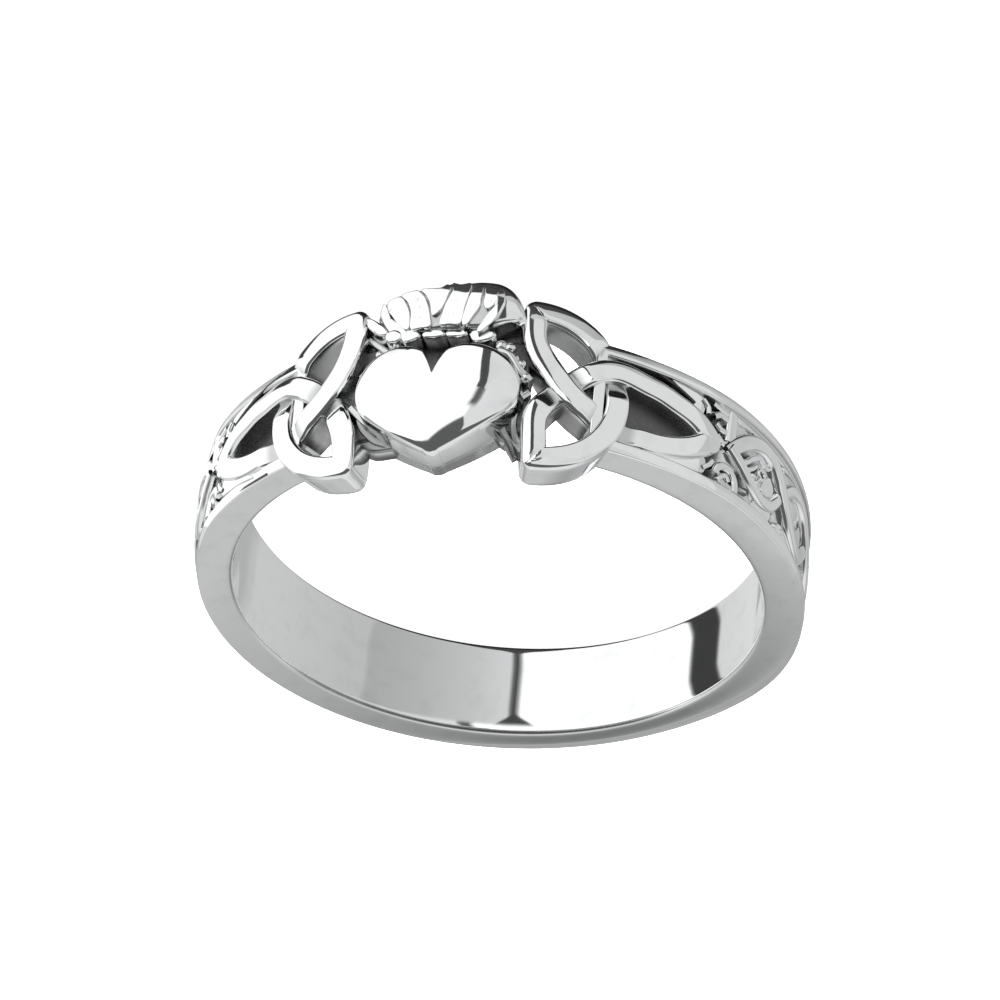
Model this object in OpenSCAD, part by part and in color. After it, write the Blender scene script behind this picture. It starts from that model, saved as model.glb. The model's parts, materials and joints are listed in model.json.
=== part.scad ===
// A cast silver ring: a domed band with a woven channel on each shoulder,
// two pierced trinity knots, and a puffed heart under a crown between them.
// Angles are counted round the finger hole from the heart, positive towards +X.

/* [Band] */
// Diameter of the finger hole
finger_d = 17.2; // [14:0.2:22]
// Thickness of the shank at the back, at its thickest
wall_back = 1.3; // [1.1:0.05:2.2]
// Thickness of the band beside the knots, at its thickest
wall_front = 1.5; // [1.3:0.05:2.4]
// Width of the band at the back
width_back = 3.4; // [2.8:0.1:4.4]
// Width that the side faces open to at the front
width_front = 4.1; // [3.6:0.1:4.8]

/* [Channel] */
// Depth of the channel below the top of the band
channel_depth = 0.6; // [0.3:0.05:0.7]
// Width of the rim on each side of the channel
rim_w = 0.4; // [0.35:0.05:0.5]
// Angle from the heart to each closed end of the channel
channel_end = 115; // [108:1:125]

/* [Weave] */
// Width of a strand of the weave
weave_w = 0.46; // [0.36:0.02:0.5]
// Depth of the weave below the top of the band
weave_drop = 0.08; // [0.02:0.02:0.2]
// Number of loops of the weave on each side
weave_loops = 3; // [2:1:3]
// Radius of the bead inside each loop
weave_bead_r = 0.3; // [0.2:0.05:0.4]
// Radius of the small beads beside each crossing
side_bead_r = 0.22; // [0.16:0.02:0.24]

/* [Knots] */
// Angle from the heart to the middle of each knot
knot_angle = 36; // [35:0.5:38]
// Angle from the heart to the near side of each knot
knot_start = 15; // [14:0.5:16]
// Length of a knot round the band, between the middles of its strands
knot_length = 6; // [5.6:0.1:6.4]
// Width of a knot across the band, between the middles of its strands
knot_width = 5.6; // [5.2:0.1:6]
// Width of a strand
strand_w = 0.72; // [0.55:0.01:0.85]
// Height that the knots stand above the band
knot_rise = 0.15; // [0.05:0.05:0.4]
// Depth of the step where one strand passes under another
strand_dip = 0.25; // [0.1:0.05:0.4]

/* [Heart] */
// Width of the heart
heart_w = 5.4; // [4.8:0.1:5.7]
// Length of the heart from the tops of its lobes to its tip
heart_len = 3.95; // [3.6:0.05:4.3]
// Distance from the middle of the band up to the tops of the lobes
heart_top = 1.05; // [0.9:0.05:1.2]
// Height of the middle of the heart above the finger hole
heart_h = 2.1; // [1.9:0.05:2.5]
// Radius of the heart's puffed face
heart_puff_r = 5; // [4:0.1:6]

/* [Crown] */
// Width of the crown
crown_w = 4.8; // [4.4:0.1:5]
// Distance from the middle of the band to the top of the crown
crown_top = 3.3; // [3.1:0.05:3.6]
// Distance from the middle of the band to the foot of the crown
crown_foot = 1.7; // [1.6:0.05:1.8]
// Height of the crown above the finger hole
crown_h = 1.9; // [1.7:0.05:2.3]
// Radius of the crown's domed face
crown_puff_r = 3.2; // [3:0.1:4]
// Width of the grooves between the ribs
groove_w = 0.14; // [0.08:0.02:0.2]
// Depth of the grooves between the ribs
groove_depth = 0.25; // [0.1:0.05:0.4]
// Radius of the beads along the crown's foot
crown_bead_r = 0.3; // [0.2:0.02:0.36]

/* [Web] */
// Thickness of the web that carries the heart and the crown
web_t = 0.85; // [0.7:0.05:1]
// Width of the web
web_w = 3.5; // [3.2:0.1:3.9]
// Width of the small bridges from the heart and the crown to the knots
bridge_w = 0.36; // [0.25:0.02:0.5]
// Height of the small bridges above the finger hole
bridge_h = 1.2; // [1:0.05:1.3]

/* [Hidden] */
$fn = 96;

hole_r = finger_d / 2;
outer_r = hole_r + (wall_front + wall_back) / 2;
front_shift = (wall_front - wall_back) / 2;
front_r = hole_r + wall_front;
floor_r = front_r - channel_depth;
weave_foot = (hole_r + floor_r) / 2;
reach = 2 * outer_r;

// Places of a knot's three tips: along the band and across it, from the knot's middle
near_tip_u = -knot_length / 2;
far_tip_u = knot_length / 2;
tip_v = knot_width / 2;
// The short arc's rise as a share of half its chord, a long arc's as a share of its chord
short_bulge = 0.98;
long_bulge = 0.375;
short_arc = arc_circle([near_tip_u, -tip_v], [near_tip_u, tip_v], short_bulge * tip_v);
upper_arc = arc_circle([near_tip_u, tip_v], [far_tip_u, 0], long_bulge * knot_chord());
lower_arc = arc_circle([near_tip_u, -tip_v], [far_tip_u, 0], -long_bulge * knot_chord());
arcs = [short_arc, upper_arc, lower_arc];
// Pairs of arcs that make the three lobes
lobes = [[0, 1], [0, 2], [1, 2]];
// Crossings near the middle: the arc that passes over, then the arc that passes under
crossings = [[0, 2], [1, 0], [2, 1]];
// Corners are trimmed by a circle through the tips, a share of a strand further out
trim_share = 0.42;
trim_u = (far_tip_u + near_tip_u) / 2 - tip_v * tip_v / (2 * knot_length);
trim_r = far_tip_u - trim_u + trim_share * strand_w;

// The weave's loops share the channel between the knot's far tip and the channel's end
weave_start = knot_angle + asin((far_tip_u + strand_w) / outer_r);
weave_pitch = (channel_end - weave_start) / weave_loops;
weave_half = outer_r * sin(weave_pitch / 2);
weave_v = width_back / 2 - rim_w - weave_w / 2;
weave_arc_r = (weave_half * weave_half + weave_v * weave_v) / (2 * weave_v);
// Distance of the small beads from a loop's middle: clear of the cut between two loops
side_bead_u = weave_half - 1.6 * side_bead_r;

// The heart's lobes, as a share of half its width, and the place of its tip
lobe_share = 0.53;
lobe_r = lobe_share * heart_w / 2;
lobe_u = heart_w / 2 - lobe_r;
lobe_v = lobe_r - heart_top;
tip_drop = heart_len - heart_top;
// Middle of the puffed face, as a share of the way from the lobes to the tip
puff_share = 0.32;
puff_v = puff_share * heart_len - heart_top;

// The crown's round ends, and the foot and lean of each groove on one side
crown_len = crown_top - crown_foot;
crown_end_r = crown_len / 2;
crown_end_u = crown_w / 2 - crown_end_r;
crown_mid_v = -(crown_top + crown_foot) / 2;
// columns: place of the groove's foot as a share of half the crown, lean in degrees
groove_rows = [[0.07, 18], [0.42, 12]];
bead_count = 5;
bead_span = 0.72;

// The bridges: ends as [angle from the heart, height across the band]
crown_side = [asin((crown_end_u + crown_end_r / 2) / outer_r), -crown_foot - crown_end_r / 2];
knot_side = [knot_angle + asin(near_tip_u / outer_r), -tip_v + strand_w];
heart_side = [asin(lobe_u / outer_r), tip_drop / 3];
knot_foot = [knot_side[0], tip_drop / 2];

// The ring lies on its side: the top of the crown and the back of the shank touch the floor
touch_y = sqrt(hole_r * hole_r - crown_end_u * crown_end_u);
back_y = outer_r - front_shift;
rest_tilt = atan((crown_top - width_back / 2) / (touch_y + back_y));

function knot_chord() = norm([knot_length, tip_v]);

// Centre and radius of the circle through two points that rises beside their chord
function arc_circle(from, to, rise) =
    let (half = norm(to - from) / 2,
         r = (half * half + rise * rise) / (2 * abs(rise)),
         mid = (from + to) / 2,
         side = [to[1] - from[1], from[0] - to[0]] / (2 * half),
         way = rise > 0 ? 1 : -1)
    [mid[0] + side[0] * way * (abs(rise) - r), mid[1] + side[1] * way * (abs(rise) - r), r];

// Where two circles cross, to the left of the way from the first centre to the second
function circles_cross(a, b) =
    let (gap = norm([b[0] - a[0], b[1] - a[1]]),
         along = (a[2] * a[2] - b[2] * b[2] + gap * gap) / (2 * gap),
         off = sqrt(a[2] * a[2] - along * along),
         d = [b[0] - a[0], b[1] - a[1]] / gap)
    [a[0] + d[0] * along - d[1] * off, a[1] + d[1] * along + d[0] * off];

// Turns a shape from the front of the ring to an angle
module at(angle) {
    rotate([0, 0, angle]) children();
}

// Carries a flat pattern out from the ring's axis through the front wall
module outward() {
    rotate([90, 0, 0]) linear_extrude(reach) children();
}

module both_sides() {
    children();
    mirror([1, 0, 0]) children();
}

// The domed outside of the band, raised or lowered
module dome(rise) {
    translate([0, -front_shift, 0]) sphere(outer_r + rise);
}

// The space between the band's two side faces, which open towards the front
module between_sides(inset) {
    back = width_back / 2 - inset;
    front = width_front / 2 - inset;
    profile = [[-outer_r, -front], [outer_r, -back], [outer_r, back], [-outer_r, front]];
    rotate([90, 0, 90]) linear_extrude(2 * reach, center = true) polygon(profile);
}

// A stretch of the wall from the heart to the same angle on both sides
module front_sector(half_angle, inner, outer, height) {
    rotate([0, 0, -90 - half_angle])
        rotate_extrude(angle = 2 * half_angle)
            translate([inner, -height / 2]) square([outer - inner, height]);
}

module arc_strand(arc, width) {
    translate([arc[0], arc[1]]) difference() {
        circle(arc[2] + width / 2);
        circle(arc[2] - width / 2);
    }
}

// A lobe is the rim of the overlap of two circles
module lobe(a, b, width) {
    difference() {
        intersection() {
            translate([a[0], a[1]]) circle(a[2] + width / 2);
            translate([b[0], b[1]]) circle(b[2] + width / 2);
        }
        intersection() {
            translate([a[0], a[1]]) circle(a[2] - width / 2);
            translate([b[0], b[1]]) circle(b[2] - width / 2);
        }
    }
}

module knot_pattern() {
    intersection() {
        union() for (l = lobes) lobe(arcs[l[0]], arcs[l[1]], strand_w);
        translate([trim_u, 0]) circle(trim_r);
    }
}

// The ground beside the strand that passes over, at one crossing
module dip_pattern(row) {
    over = arcs[row[0]];
    place = circles_cross(over, arcs[row[1]]);
    difference() {
        translate(place) circle(strand_w);
        arc_strand(over, strand_w);
    }
}

module knot() {
    at(knot_angle) difference() {
        intersection() {
            outward() knot_pattern();
            at(-knot_angle) dome(knot_rise);
        }
        for (row = crossings) difference() {
            outward() dip_pattern(row);
            at(-knot_angle) dome(knot_rise - strand_dip);
        }
        at(-knot_angle) front_sector(knot_start, 0, reach, 2 * knot_width);
    }
}

module band() {
    difference() {
        intersection() {
            dome(0);
            between_sides(0);
        }
        intersection() {
            between_sides(rim_w);
            front_sector(channel_end, floor_r, reach, 2 * width_front);
        }
        front_sector(knot_angle + asin(near_tip_u / outer_r), 0, reach, 2 * width_front);
        both_sides() at(knot_angle) outward()
            translate([short_arc[0], short_arc[1]]) circle(short_arc[2]);
    }
}

module weave_loop() {
    upper = [0, weave_arc_r - weave_v, weave_arc_r];
    lower = [0, weave_v - weave_arc_r, weave_arc_r];
    outward() {
        lobe(upper, lower, weave_w);
        circle(weave_bead_r);
        for (u = [-side_bead_u, side_bead_u], v = [-weave_v, weave_v])
            translate([u, v]) circle(side_bead_r);
    }
}

module weave() {
    for (i = [0 : weave_loops - 1]) intersection() {
        at(weave_start + (i + 0.5) * weave_pitch) intersection() {
            weave_loop();
            front_sector(weave_pitch / 2, weave_foot, reach, width_front);
        }
        dome(-weave_drop);
    }
}

module heart_pattern() {
    to_tip = [-lobe_u, tip_drop - lobe_v];
    turn = atan2(to_tip[1], to_tip[0]) - acos(lobe_r / norm(to_tip));
    side = [lobe_u + lobe_r * cos(turn), lobe_v + lobe_r * sin(turn)];
    both_sides() {
        translate([lobe_u, lobe_v]) circle(lobe_r);
        polygon([[0, lobe_v], [lobe_u, lobe_v], side, [0, tip_drop]]);
    }
}

module heart() {
    intersection() {
        outward() heart_pattern();
        translate([0, heart_puff_r - hole_r - heart_h, puff_v]) sphere(heart_puff_r);
    }
}

module crown_pattern() {
    translate([-crown_end_u, -crown_top]) square([2 * crown_end_u, crown_len]);
    both_sides() translate([crown_end_u, crown_mid_v]) circle(crown_end_r);
}

module groove_pattern(row) {
    translate([row[0] * crown_w / 2, -crown_foot]) rotate(row[1])
        translate([-groove_w / 2, -2 * crown_len]) square([groove_w, 2 * crown_len]);
}

module crown_dome(drop) {
    translate([0, crown_puff_r - hole_r - crown_h, crown_mid_v]) sphere(crown_puff_r - drop);
}

module crown() {
    difference() {
        intersection() {
            outward() crown_pattern();
            crown_dome(0);
        }
        difference() {
            outward() both_sides() for (row = groove_rows) groove_pattern(row);
            crown_dome(groove_depth);
        }
    }
    for (i = [0 : bead_count - 1])
        at(bead_span * asin(crown_w / 2 / outer_r) * (2 * i / (bead_count - 1) - 1))
            translate([0, -hole_r - bridge_h, -crown_foot + crown_bead_r / 2]) sphere(crown_bead_r);
}

// A bar between two places, each given as [angle, height across the band]
module bridge(from, to) {
    p = [outer_r * sin(from[0]), from[1]];
    q = [outer_r * sin(to[0]), to[1]];
    intersection() {
        outward() translate(p) rotate(atan2(q[1] - p[1], q[0] - p[0]))
            translate([0, -bridge_w / 2]) square([norm(q - p), bridge_w]);
        cylinder(r = hole_r + bridge_h, h = reach, center = true);
    }
}

module web() {
    front_sector(knot_side[0], hole_r / 2, hole_r + web_t, web_w);
    both_sides() {
        bridge(crown_side, knot_side);
        bridge(heart_side, knot_foot);
    }
}

module ring() {
    color("silver") rotate([-rest_tilt, 0, 0]) difference() {
        union() {
            band();
            both_sides() knot();
            both_sides() weave();
            web();
            heart();
            crown();
        }
        cylinder(d = finger_d, h = reach, center = true);
    }
}

ring();
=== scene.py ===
import json
import math

import bmesh
import bpy
from mathutils import Matrix, Vector


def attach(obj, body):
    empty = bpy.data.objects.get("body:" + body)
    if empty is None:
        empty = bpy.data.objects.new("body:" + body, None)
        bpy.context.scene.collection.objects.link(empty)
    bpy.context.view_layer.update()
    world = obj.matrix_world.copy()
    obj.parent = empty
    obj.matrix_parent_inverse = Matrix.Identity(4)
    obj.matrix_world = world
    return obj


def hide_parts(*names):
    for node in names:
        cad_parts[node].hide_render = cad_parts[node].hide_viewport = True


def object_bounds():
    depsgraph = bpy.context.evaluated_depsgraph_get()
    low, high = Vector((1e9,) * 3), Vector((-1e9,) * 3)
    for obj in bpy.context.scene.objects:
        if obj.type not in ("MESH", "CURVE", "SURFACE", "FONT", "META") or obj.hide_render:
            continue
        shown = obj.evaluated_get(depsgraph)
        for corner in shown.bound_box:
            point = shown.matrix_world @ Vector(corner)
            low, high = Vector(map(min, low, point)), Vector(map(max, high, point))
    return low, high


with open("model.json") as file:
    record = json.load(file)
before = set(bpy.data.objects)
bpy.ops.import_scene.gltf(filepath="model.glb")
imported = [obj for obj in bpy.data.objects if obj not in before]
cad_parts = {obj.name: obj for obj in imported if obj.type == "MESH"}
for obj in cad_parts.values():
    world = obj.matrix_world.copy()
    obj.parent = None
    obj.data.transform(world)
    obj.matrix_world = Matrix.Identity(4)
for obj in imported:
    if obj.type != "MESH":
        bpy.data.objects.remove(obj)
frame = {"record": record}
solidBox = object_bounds()

# Shapes are worked out in millimetres round the finger hole's axis, with z across the band, and
# angles in degrees from the heart, positive towards +X. toFloor then lays them as the ring lies.
# In short names a is an angle, r a radius, u a place along the band and v a place across it.
mount = frame["record"]["mounts"][0]
holeAxis = Vector(mount["axis"])
restTilt = math.atan2(holeAxis.y, holeAxis.z)
holeR = mount["dims"]["r_mm"]
faceR = 9.9  # the flat tops of the knots
mm = 0.001
lying = Matrix.Rotation(-restTilt, 4, "X")
toFloor = Matrix.Scale(mm, 4) @ lying


def addObject(name, data):
    added = bpy.data.objects.new(name, data)
    bpy.context.scene.collection.objects.link(added)
    return added


class Wire:
    # wraps a socket, so that node maths reads as plain expressions
    def __init__(self, tree, socket=None):
        self.tree = tree
        self.socket = socket

    def make(self, kind, settings=None, sockets=None, output=None):
        node = self.tree.nodes.new(kind)
        for name, value in (settings or {}).items():
            if name == "stops":
                elements = node.color_ramp.elements
                elements[0].position, elements[1].position = value[0][0], value[-1][0]
                for place, shade in value[1:-1]:
                    elements.new(place)
                for element, (place, shade) in zip(elements, value):
                    element.color = (shade, shade, shade, 1)
            else:
                setattr(node, name, value)
        for name, value in (sockets or {}).items():
            socket = node.inputs[name] if isinstance(name, int) else next(
                s for s in node.inputs if s.name == name and s.enabled)
            if isinstance(value, Wire):
                self.tree.links.new(value.socket, socket)
            else:
                socket.default_value = value
        if not node.outputs:
            return node
        if output is None:
            return Wire(self.tree, next(s for s in node.outputs if s.enabled))
        return Wire(self.tree, node.outputs[output])

    def maths(self, operation, *others):
        values = (self,) + others
        isVector = any(isinstance(v, Wire) and v.socket.type == "VECTOR" for v in values)
        if isVector:
            values = [(v, v, v) if isinstance(v, (int, float)) else v for v in values]
        kind = "ShaderNodeVectorMath" if isVector else "ShaderNodeMath"
        output = "Vector" if isVector and operation not in ("DOT_PRODUCT", "LENGTH") else "Value"
        return self.make(kind, {"operation": operation}, dict(enumerate(values)), output)

    def __add__(self, other):
        return self.maths("ADD", other)

    __radd__ = __add__

    def __mul__(self, other):
        return self.maths("MULTIPLY", other)

    __rmul__ = __mul__

    def __sub__(self, other):
        return self.maths("SUBTRACT", other)

    def __rsub__(self, other):
        return self * -1 + other

    def __truediv__(self, other):
        return self.maths("DIVIDE", other)

    def __neg__(self):
        return self * -1

    def atLeast(self, low):
        return self.maths("MAXIMUM", low)

    def atMost(self, high):
        return self.maths("MINIMUM", high)

    def part(self, axis):
        return self.make("ShaderNodeSeparateXYZ", None, {0: self}, axis)

    def join(self, x, y, z):
        return self.make("ShaderNodeCombineXYZ", None, {0: x, 1: y, 2: z})

    def fade(self, low, high, to=(0, 1)):
        return self.make("ShaderNodeMapRange", {"interpolation_type": "SMOOTHSTEP"},
                         {0: self, 1: low, 2: high, 3: to[0], 4: to[1]})

    def mix(self, low, high):
        return self.make("ShaderNodeMix", {"data_type": "FLOAT"}, {0: self, 2: low, 3: high}, 0)

    def noise(self, scale, detail):
        return self.make("ShaderNodeTexNoise", None, {"Vector": self, "Scale": scale, "Detail": detail}, 0)

    def named(self, label, kind="FLOAT"):
        return self.make("GeometryNodeInputNamedAttribute", {"data_type": kind}, {"Name": label})

    def store(self, label, value):
        return self.make("GeometryNodeStoreNamedAttribute", {"data_type": "FLOAT", "domain": "POINT"},
                         {"Geometry": self, "Name": label, "Value": value})

    def moveTo(self, spot):
        return self.make("GeometryNodeSetPosition", None, {"Geometry": self, "Position": spot})


def emptyTree(owner):
    owner.use_nodes = True
    owner.node_tree.nodes.clear()
    return Wire(owner.node_tree)


print("silver")

silverLook = {
    "colour": (0.925, 0.935, 0.94, 1),
    # the metal's colour where shade is painted
    "recessColour": (0.15, 0.15, 0.148, 1),
    "roughness": 0.05,
    "recessRoughness": 0.38,
    "smudge": 0.05,       # how far the roughness wanders
    "blotches": 0.35,     # how much faint dark blotches show
    "cloudScale": 420.0,
    "grainScale": 5200.0,
    "blotchScale": 1500.0,
    "cast": (0.62, 0.3, 0.5),  # how dark the painted shade is: all over, by cloud and by grain
    "castDepth": 0.35,
    "scratchScale": (900.0, 9000.0, 2500.0),  # fine polishing marks run one way and hardly show
    "scratchDepth": 0.012,
    "bumpStrength": 0.35,
    "bumpDistance": 0.00002,
}


def makeSilver(name, look):
    material = bpy.data.materials.new(name)
    bench = emptyTree(material)
    place = bench.make("ShaderNodeTexCoord", None, None, "Object")
    # painted shade: a value kept on each point darkens the metal where it would lie in shade, and makes it
    # rougher there
    recess = bench.make("ShaderNodeAttribute", {"attribute_name": "recess"}, None, "Fac")
    cloud = place.noise(look["cloudScale"], 3.0)
    grain = place.noise(look["grainScale"], 4.0)
    blotch = place.noise(look["blotchScale"], 3.0)
    streak = bench.make("ShaderNodeMapping", None, {"Vector": place, "Scale": look["scratchScale"]})
    marks = streak.noise(1.0, 2.0)
    least, byCloud, byGrain = look["cast"]
    dark = recess * (least + cloud * byCloud + grain * byGrain).atMost(1.0)
    stain = (blotch - 0.5).atLeast(0.0) * look["blotches"]
    colour = bench.make("ShaderNodeMix", {"data_type": "RGBA"},
                        {0: dark + stain, 6: look["colour"], 7: look["recessColour"]}, 2)
    roughness = look["roughness"] + (cloud - 0.5) * look["smudge"] + dark * look["recessRoughness"]
    height = marks * look["scratchDepth"] + grain * dark * look["castDepth"]
    bump = bench.make("ShaderNodeBump", None, {"Height": height, "Strength": look["bumpStrength"],
                                               "Distance": look["bumpDistance"]})
    shader = bench.make("ShaderNodeBsdfPrincipled", None,
                        {"Base Color": colour, "Roughness": roughness, "Metallic": 1.0, "Normal": bump})
    bench.make("ShaderNodeOutputMaterial", None, {"Surface": shader})
    return material


silver = makeSilver("polishedSilver", silverLook)


def finishPiece(name, meshes):
    # one smooth piece from the meshes, facing outwards, then on to the ring
    shape = bmesh.new()
    for mesh in meshes:
        shape.from_mesh(mesh)
        bpy.data.meshes.remove(mesh)
    bmesh.ops.remove_doubles(shape, verts=shape.verts, dist=1e-8)
    bmesh.ops.recalc_face_normals(shape, faces=shape.faces)
    for face in shape.faces:
        face.smooth = True
    whole = bpy.data.meshes.new(name)
    shape.to_mesh(whole)
    shape.free()
    whole.materials.append(silver)
    piece = addObject(name, whole)
    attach(piece, "root")
    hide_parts("ring")


def joinShapes(name, parts):
    # one piece from closed shapes, each a list of points, faces and painted-shade values
    verts, faces, recess = [], [], []
    for points, sides, depths in parts:
        start = len(verts)
        verts += [toFloor @ Vector(point) for point in points]
        faces += [tuple(i + start for i in side) for side in sides]
        recess += depths
    mesh = bpy.data.meshes.new("shapes")
    mesh.from_pydata(verts, [], faces)
    mesh.attributes.new("recess", "FLOAT", "POINT").data.foreach_set("value", recess)
    finishPiece(name, [mesh])


def onRing(a, v, r):
    turn = math.radians(a)
    return (r * math.sin(turn), -r * math.cos(turn), v)


def onCircle(x, y, r, turn):
    return (x + r * math.cos(turn), y + r * math.sin(turn))


def onCurve(corners, t):
    # a point on the smooth curve between the second and the third of four corners
    return tuple(0.5 * (2 * start + (end - before) * t
                        + (2 * before - 5 * start + 4 * end - after) * t * t
                        + (3 * start - before - 3 * end + after) * t ** 3)
                 for before, start, end, after in zip(*corners))


def openCurve(points, perSpan=8):
    row = [points[0], *points, points[-1]]
    spans = range(len(points) - 1)
    return [onCurve(row[i:i + 4], k / perSpan) for i in spans for k in range(perSpan)] + [points[-1]]


def closedCurve(points, perSpan=7):
    row = [points[-1], *points, *points[:2]]
    spans = range(len(points))
    return [onCurve(row[i:i + 4], k / perSpan) for i in spans for k in range(perSpan)]


def middleOf(outline):
    return tuple(sum(values) / len(outline) for values in zip(*outline))


def belt(first, second, count):
    # faces between two closed rings of points
    return [(first + i, first + (i + 1) % count, second + (i + 1) % count, second + i) for i in range(count)]


def fan(centre, first, count):
    return [(centre, first + i, first + (i + 1) % count) for i in range(count)]


def tube(rings):
    # closed rings of points, each point with its painted-shade value, joined one to the next
    verts, recess = (list(values) for values in zip(*(pair for ring in rings for pair in ring)))
    faces, count = [], len(rings[0])
    for start in range(0, len(verts) - count, count):
        faces += belt(start, start + count, count)
    return verts, faces, recess


def stack(top, rings, bottom):
    # rings one below the other, closed by a point in the middle of each end
    verts, faces, recess = tube(rings)
    last, count = len(verts), len(rings[0])
    faces += fan(last, 0, count) + fan(last + 1, last - count, count)
    return verts + [top, bottom], faces, recess + [0.0, 0.0]


def ease(value, low, high):
    t = min(1.0, max(0.0, (value - low) / (high - low)))
    return t * t * (3 - 2 * t)


def rampUpDown(value, low, high, leave, end):
    return ease(value, low, high) * (1 - ease(value, leave, end))


def bell(value, middle, spread):
    return math.exp(-((value - middle) / spread) ** 2)


knot = {
    "angle": 36,
    "nearU": -3.0,
    "farU": 3.3,
    "tipV": 2.77,
    "shortRise": 2.71,
    "longRise": 2.5,
    "width": 0.84,
    "round": 0.15,
    "crown": 0.02,
    "slope": 0.04,        # the outer side of each strand falls away
    "dip": 0.18,          # how far a strand passes under another
    "lift": 0.03,         # and over it
    "dipReach": (0.42, 1.15),
    "liftReach": (0.3, 1.3),
    "step": 0.06,
    "stepsPast": 16,      # how far a strand runs on past its tip before it is cut there
    "lean": 0.06,         # the knot away from +X sits a little askew
    "filed": 0.3,         # how much lower the strand behind was filed
    "filedAlong": (-0.8, 0.9, 1.6, 3.3),
    "filedV": 0.3,
    "bulge": 0.2,         # the knot away from +X is fuller beside the heart
    "bulges": ((1.0, 1.1, 0.75), (0.6, -1.6, 0.7)),  # share, middle and spread
    "bulgeEnd": (-2.2, -1.0),
    "tipReach": 1.6,
    "overlap": 0.12,      # how far two strands run on into each other at a tip
    "tuck": 0.3,          # how steeply each dives there
    "recess": 0.65,
}


def arcCircle(start, end, rise):
    # the circle through two points whose arc rises that far from the line between them
    dx, dy = end[0] - start[0], end[1] - start[1]
    half = math.hypot(dx, dy) / 2
    r = (half * half + rise * rise) / (2 * abs(rise))
    away = math.copysign(abs(rise) - r, rise * (abs(rise) - r))
    middle = ((start[0] + end[0]) / 2, (start[1] + end[1]) / 2)
    return (middle[0] + dy / (2 * half) * away, middle[1] - dx / (2 * half) * away, r)


upperTip = (knot["nearU"], -knot["tipV"])
lowerTip = (knot["nearU"], knot["tipV"])
farTip = (knot["farU"], 0.0)
shortArc = arcCircle(upperTip, lowerTip, knot["shortRise"])
upperArc = arcCircle(lowerTip, farTip, knot["longRise"])
lowerArc = arcCircle(upperTip, farTip, -knot["longRise"])


print("band")

band = {
    "outerR": 9.99,       # middle of the band's outside
    "shift": 0.06,        # how far the outside is cast off centre, away from +X
    "frontShift": 0.05,
    "crownDrop": 0.15,    # how much lower the outside is at its edges
    "startDrop": 0.13,    # the rims pass a little below the knots' strands
    "startEase": (42, 66),
    "halfBack": 1.7,
    "halfFront": 2.05,
    "innerRound": 0.13,
    "outerRound": 0.05,
    "flare": 0.03,        # the hole widens a little towards its edges
    "flareFrom": 0.5,     # shares of half its width
    "flareOver": 0.43,
    "holeShares": (0, 0.25, 0.45, 0.55, 0.65, 0.74, 0.82, 0.88),
    "heavy": (0.27, 228, 20),  # where the shank is thicker: how much, the angle and the spread
    # the same for how far the side faces round over towards their outer edge
    "sideDrops": ((0.1, 185, 34), (0.2, 226, 26), (0.045, 275, 40)),
    "leastDrop": 0.02,
    "edgeShade": 0.75,    # the hole's edge is painted darker at the back, as painted shade
    "edgeAngles": (112, 128, 198, 212),
    "rimW": 0.4,
    "rimShade": 0.32,     # one rim is painted darker and rougher beside the knots, as painted shade
    "rimAngles": (36, 42, 58, 78),
    "channelDepth": 0.5,
    "channelSlope": 1.2,
    "channelEnd": 115,
    "shallow": 0.3,       # past the knots the channel is shallow, but for its pits
    "shallowFrom": (56, 59),
    "shallowShade": 0.15,
    # pits between the weave's strands, sunk and painted dark as painted shade: angle, place across the band,
    # half length, half width
    "pits": (
        (62.2, 0.85, 3.2, 0.22), (66.5, -0.25, 3.2, 0.24), (77.9, -0.15, 0.6, 0.2),
        (76.0, 1.0, 0.6, 0.14), (58.0, -0.88, 1.4, 0.14), (58.0, -0.36, 0.9, 0.1),
        (55.5, 1.0, 1.8, 0.2), (86.5, 0.1, 2.2, 0.16), (84.0, -0.62, 2.2, 0.08), (83.0, 1.1, 4, 0.06),
        (97.0, 0.95, 1.5, 0.12), (97.0, -0.95, 1.5, 0.12), (105.0, 0.1, 2.4, 0.2),
    ),
    "pitSlant": 0.55,
    "startAngle": 33.6,
    "steps": 560,
}


def bandHalf(angle):
    front = (1 + math.cos(math.radians(angle))) / 2
    return band["halfBack"] + (band["halfFront"] - band["halfBack"]) * front


def bandTop(angle, z):
    a = math.radians(angle)
    heavy, middle, spread = band["heavy"]
    return (band["outerR"] - band["shift"] * math.sin(a) + band["frontShift"] * math.cos(a)
            + heavy * bell(angle, middle, spread) - band["crownDrop"] * (z / bandHalf(angle)) ** 2
            - band["startDrop"] * (1 - ease(min(angle, 360 - angle), *band["startEase"])))


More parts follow.
